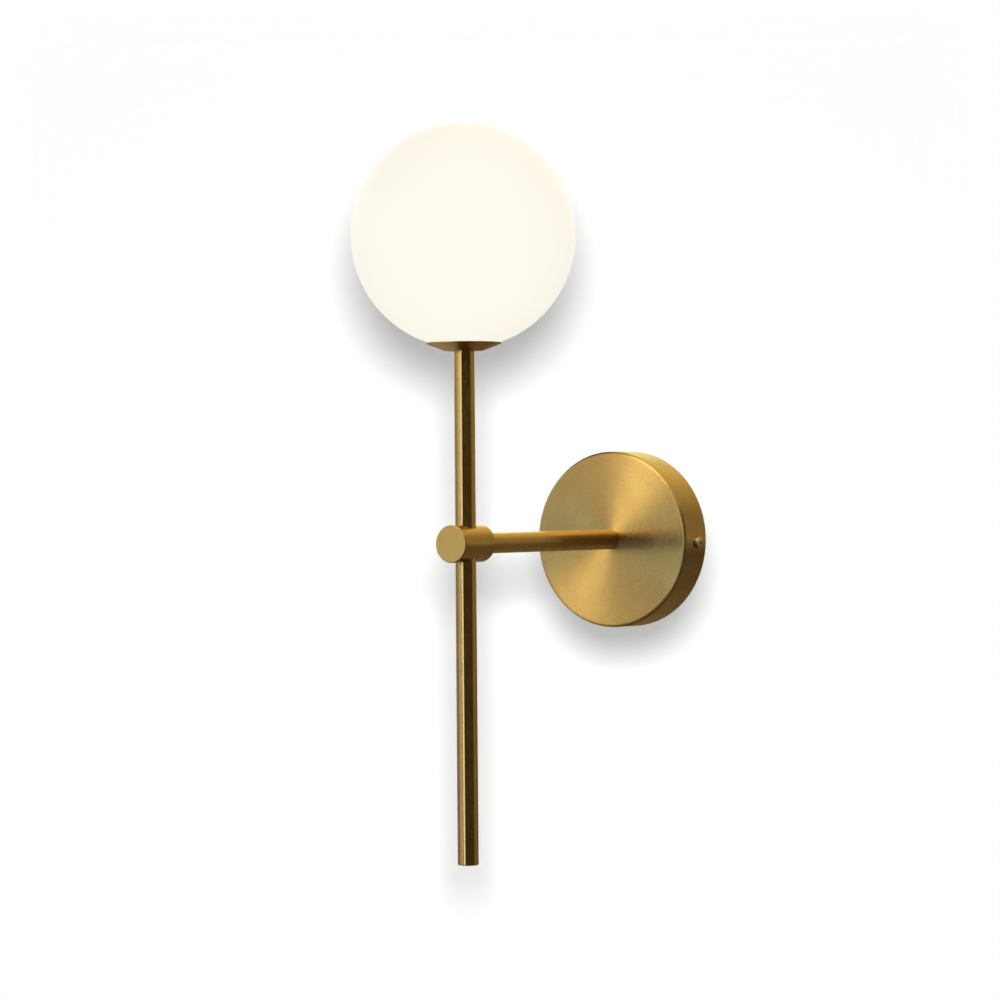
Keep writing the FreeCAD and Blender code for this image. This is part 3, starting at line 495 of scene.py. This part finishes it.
right, back, rolledRight, rolledUp = lookDirections(cameraFit)
target = Vector((0, cameraFit["lookOut"], cameraFit["lookUp"])) + cameraFit["aside"] * right
lens = bpy.data.cameras.new("camera")
lens.lens, lens.sensor_width = cameraFit["lens"], cameraFit["sensor"]
lens.clip_start, lens.clip_end = cameraFit["clip"]
camera = bpy.data.objects.new("camera", lens)
bpy.context.scene.collection.objects.link(camera)
camera.matrix_world = Matrix.Translation(target + back * cameraFit["away"]) @ Matrix(
    (rolledRight, rolledUp, back)).transposed().to_4x4()
bpy.context.scene.camera = camera
print("camera placed")


# Studio: backdrop behind the object, floor, front lamp and world

studio = {
    "backdropBehind": 0.75,                         # metres from the stem, away from the camera
    "backdropHalf": 0.66, "fadeFrom": 0.32, "fadeTo": 0.46,
    "backdropGlow": (0.187, 0.187, 0.190),
    "floorHeight": -0.62, "floorHalf": 1.6, "floorAside": 0.1,
    "floorFadeFrom": 0.8, "floorFadeTo": 1.55, "floorGlow": (0, 0, 0),
    "paper": (0.99, 0.99, 0.99), "paperCorner": 0.08,
    "frontPower": 49.0, "frontUp": 0.103, "frontSize": 0.155,
    "room": 0.12, "roomBehind": 0.75,               # light of the room in front of the object and behind it
    "roomTurn": (-0.35, 0.0),                       # between which directions it goes from one to the other
}


def stagePlane(name, centre, toward, width, height, upright=Vector((0, 0, 1))):
    mesh = bpy.data.meshes.new(name)
    shape = bmesh.new()
    bmesh.ops.create_grid(shape, x_segments=1, y_segments=1, size=0.5)
    bmesh.ops.scale(shape, vec=(width, height, 1), verts=shape.verts)
    across = upright.cross(toward).normalized()
    turn = Matrix((across, toward.cross(across), toward)).transposed().to_4x4()
    bmesh.ops.transform(shape, matrix=Matrix.Translation(centre) @ turn, verts=shape.verts)
    shape.to_mesh(mesh)
    shape.free()
    plane = bpy.data.objects.new(name, mesh)
    bpy.context.scene.collection.objects.link(plane)
    return plane


def paperMaterial(name, centre, across, glow, fadeFrom, fadeTo):
    # white paper that also shows white to the camera, fades out at its edge and is open from behind
    material = bpy.data.materials.new(name)
    material.use_nodes = True
    tree = material.node_tree
    tree.nodes.remove(tree.nodes["Principled BSDF"])
    end = tree.nodes["Material Output"]
    paper = newNode(tree, "ShaderNodeBsdfDiffuse", {"Color": (*studio["paper"], 1)})
    light = newNode(tree, "ShaderNodeEmission", {"Color": (*glow, 1)})
    paths = newNode(tree, "ShaderNodeLightPath").outputs
    eye = sums(tree, "MAXIMUM", paths["Is Camera Ray"], paths["Is Transmission Ray"])
    wire(tree, eye, light.inputs["Strength"])
    both = tree.nodes.new("ShaderNodeAddShader")
    wire(tree, paper.outputs[0], both.inputs[0])
    wire(tree, light.outputs[0], both.inputs[1])
    place = tree.nodes.new("ShaderNodeTexCoord").outputs["Object"]
    offset = vectorSums(tree, "SUBTRACT", place, centre)
    sideways = sums(tree, "ABSOLUTE", vectorSums(tree, "DOT_PRODUCT", offset, across[0]))
    upwards = sums(tree, "ABSOLUTE", vectorSums(tree, "DOT_PRODUCT", offset, across[1]))
    distance = sums(tree, "SMOOTH_MAX", sideways, upwards, studio["paperCorner"])
    behind = newNode(tree, "ShaderNodeNewGeometry").outputs["Backfacing"]
    openShare = sums(tree, "MAXIMUM", eased(tree, distance, fadeFrom, fadeTo), behind)
    clear = tree.nodes.new("ShaderNodeBsdfTransparent")
    mixed = tree.nodes.new("ShaderNodeMixShader")
    wire(tree, openShare, mixed.inputs[0])
    wire(tree, both.outputs[0], mixed.inputs[1])
    wire(tree, clear.outputs[0], mixed.inputs[2])
    wire(tree, mixed.outputs[0], end.inputs["Surface"])
    return material


backdropCentre = target - back * studio["backdropBehind"]
backdropSize = 2 * studio["backdropHalf"]
backdrop = stagePlane("backdrop", backdropCentre, back, backdropSize, backdropSize)
backdrop.data.materials.append(
    paperMaterial("backdropPaper", backdropCentre, (right, back.cross(right)), studio["backdropGlow"],
                  studio["fadeFrom"], studio["fadeTo"]))
floorCentre = Vector((studio["floorAside"], stemOut, studio["floorHeight"]))
floorSize = 2 * studio["floorHalf"]
floor = stagePlane("floor", floorCentre, Vector((0, 0, 1)), floorSize, floorSize, Vector((0, 1, 0)))
floor.data.materials.append(
    paperMaterial("floorPaper", floorCentre, (Vector((1, 0, 0)), Vector((0, 1, 0))), studio["floorGlow"],
                  studio["floorFadeFrom"], studio["floorFadeTo"]))


def discLamp(name, place, aim, power, size):
    lamp = bpy.data.lights.new(name, "AREA")
    lamp.energy, lamp.shape, lamp.size = power, "DISK", size
    thing = bpy.data.objects.new(name, lamp)
    bpy.context.scene.collection.objects.link(thing)
    thing.location = place
    thing.rotation_mode = "QUATERNION"
    thing.rotation_quaternion = (place - aim).to_track_quat("Z", "Y")
    thing.visible_camera = False
    return thing


front = discLamp("frontLamp", camera.matrix_world.translation + rolledUp * studio["frontUp"], target,
                 studio["frontPower"], studio["frontSize"])
front.visible_glossy = False
backdrop.visible_glossy = floor.visible_glossy = False


# Soft panels that only shiny things see: the azimuth and height in degrees of each one's middle, half its
# width and height, its soft border and its colour. Azimuth 0 is straight out from the wall, +X is positive
panels = {
    "backLeftHigh": ((-138, 13), (38, 13), 10, (0.98, 1.13, 0.74)),
    "backLeftLow": ((-138, -13), (38, 13), 10, (0.16, 0.11, 0.06)),
    "left": ((-82, 0), (24, 24), 12, (0.22, 0.18, 0.24)),
    "frontLeft": ((-42, -2), (16, 20), 10, (0.50, 0.60, 0.65)),
    "frontHigh": ((-22, 15), (10, 9), 8, (3.40, 2.95, 2.00)),
    "frontLeftHigh": ((-42, 15), (10, 9), 8, (0.60, 0.27, 0.05)),
    "leftHigh": ((-68, 15), (16, 9), 10, (0.50, 0.77, 1.00)),
    "front": ((-4, -6), (9, 16), 4, (1.29, 1.65, 2.35)),
    "backRightLow": ((138, -12), (26, 14), 12, (0.065, 0.06, 0.05)),
    "backRightHigh": ((138, 18), (30, 22), 14, (0.30, 0.24, 0.14)),
    "backTop": ((-165, 36), (32, 20), 14, (0.74, 0.56, 0.16)),
    "right": ((62, 0), (45, 24), 12, (0.01, 0.015, 0.02)),
    "rightTop": ((65, 46), (45, 14), 14, (0.75, 0.70, 0.60)),
    "ceiling": ((0, 90), (360, 36), 16, (0.75, 0.60, 0.40)),
    "leftGround": ((-105, -40), (35, 20), 14, (0.34, 0.33, 0.29)),
    "backGround": ((-170, -40), (30, 20), 14, (0.12, 0.10, 0.055)),
    "rightGround": ((130, -40), (30, 20), 14, (0.07, 0.06, 0.04)),
    "ground": ((0, -90), (360, 36), 12, (0.03, 0.02, 0.01)),
}
betweenPanels = {"X": 0.04, "Y": 0.025, "Z": 0.005}
allRound = 360                                      # half a width that needs no soft border


def studioWorld():
    # a plain grey room, white to the eye, with the panels in it for shiny things
    world = bpy.data.worlds.new("studioRoom")
    bpy.context.scene.world = world
    world.use_nodes = True
    tree = world.node_tree
    parts = newNode(tree, "ShaderNodeSeparateXYZ")
    direction = tree.nodes.new("ShaderNodeTexCoord").outputs["Generated"]
    wire(tree, direction, parts.inputs[0])
    around = sums(tree, "ARCTAN2", parts.outputs["X"], sums(tree, "MULTIPLY", parts.outputs["Y"], -1.0))
    height = sums(tree, "ARCSINE", parts.outputs["Z"])
    total = newNode(tree, "ShaderNodeCombineXYZ", betweenPanels).outputs[0]
    for middle, half, border, colour in panels.values():
        share = None
        for place, where, reach in ((around, middle[0], half[0]), (height, middle[1], half[1])):
            if reach < allRound:
                offset = sums(tree, "PINGPONG", sums(tree, "SUBTRACT", place, math.radians(where)), math.pi)
                inside = eased(tree, offset, math.radians(reach - border / 2),
                               math.radians(reach + border / 2), 1.0, 0.0)
                share = inside if share is None else sums(tree, "MULTIPLY", share, inside)
        lit = newNode(tree, "ShaderNodeVectorMath", operation="MULTIPLY_ADD")
        lit.inputs[0].default_value = colour
        wire(tree, share, lit.inputs[1])
        wire(tree, total, lit.inputs[2])
        total = lit.outputs[0]
    paths = newNode(tree, "ShaderNodeLightPath").outputs
    eye = sums(tree, "MAXIMUM", paths["Is Camera Ray"], paths["Is Transmission Ray"])
    ahead = vectorSums(tree, "DOT_PRODUCT", direction, tuple(back))
    level = eased(tree, ahead, *studio["roomTurn"], studio["roomBehind"], studio["room"])
    plain = blendColours(tree, eye, newGrey(tree, level), (1.0, 1.0, 1.0))
    shown = blendColours(tree, paths["Is Glossy Ray"], plain, total)
    wire(tree, shown, tree.nodes["Background"].inputs["Color"])


studioWorld()
bpy.context.scene.view_settings.view_transform = "Standard"
print("studio ready")
